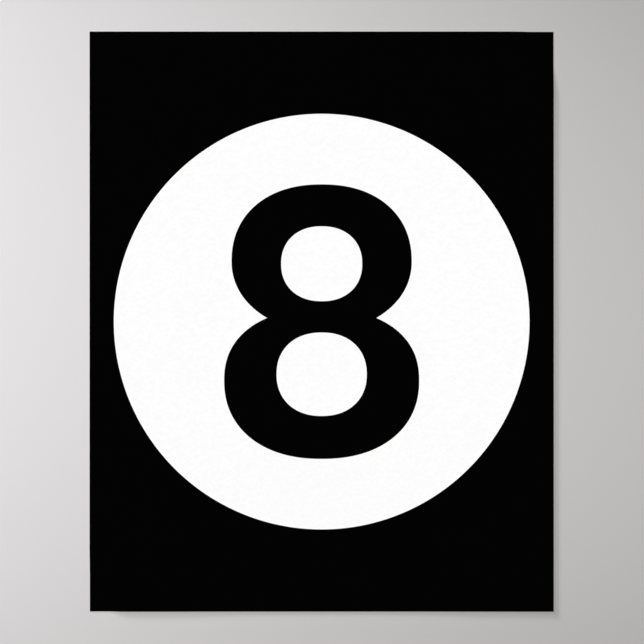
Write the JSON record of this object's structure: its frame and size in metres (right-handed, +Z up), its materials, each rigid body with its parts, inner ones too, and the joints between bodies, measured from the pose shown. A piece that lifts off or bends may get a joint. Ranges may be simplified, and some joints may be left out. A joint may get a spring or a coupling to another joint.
{
  "type": "billiards wall poster",
  "caption": "Unframed matte paper poster, black with a white disc and a bold figure 8, held flat just off a wall on square foam adhesive pads.",
  "frame": {"origin": "middle of the centre pad's adhesive face on the wall, behind the middle of the sheet", "axes": "+Z up along the sheet's long side, +Y into the wall so that the printed front faces -Y, +X to the right as seen from the front"},
  "size_m": [0.4064, 0.0035, 0.508],
  "materials": {
    "paper": "matte",
    "white_coat": "matte",
    "black_ink": "matte",
    "foam": "matte",
    "adhesive": "satin"
  },
  "bodies": {
    "root": {"paper_sheet": "paper", "white_coat": "white_coat", "ground_ink": "black_ink", "figure_ink": "black_ink", "top_left_wall_adhesive": "adhesive", "top_left_foam": "foam", "top_left_sheet_adhesive": "adhesive", "top_right_wall_adhesive": "adhesive", "top_right_foam": "foam", "top_right_sheet_adhesive": "adhesive", "middle_left_wall_adhesive": "adhesive", "middle_left_foam": "foam", "middle_left_sheet_adhesive": "adhesive", "centre_wall_adhesive": "adhesive", "centre_foam": "foam", "centre_sheet_adhesive": "adhesive", "middle_right_wall_adhesive": "adhesive", "middle_right_foam": "foam", "middle_right_sheet_adhesive": "adhesive", "bottom_left_wall_adhesive": "adhesive", "bottom_left_foam": "foam", "bottom_left_sheet_adhesive": "adhesive", "bottom_right_wall_adhesive": "adhesive", "bottom_right_foam": "foam", "bottom_right_sheet_adhesive": "adhesive"}
  },
  "joints": []
}
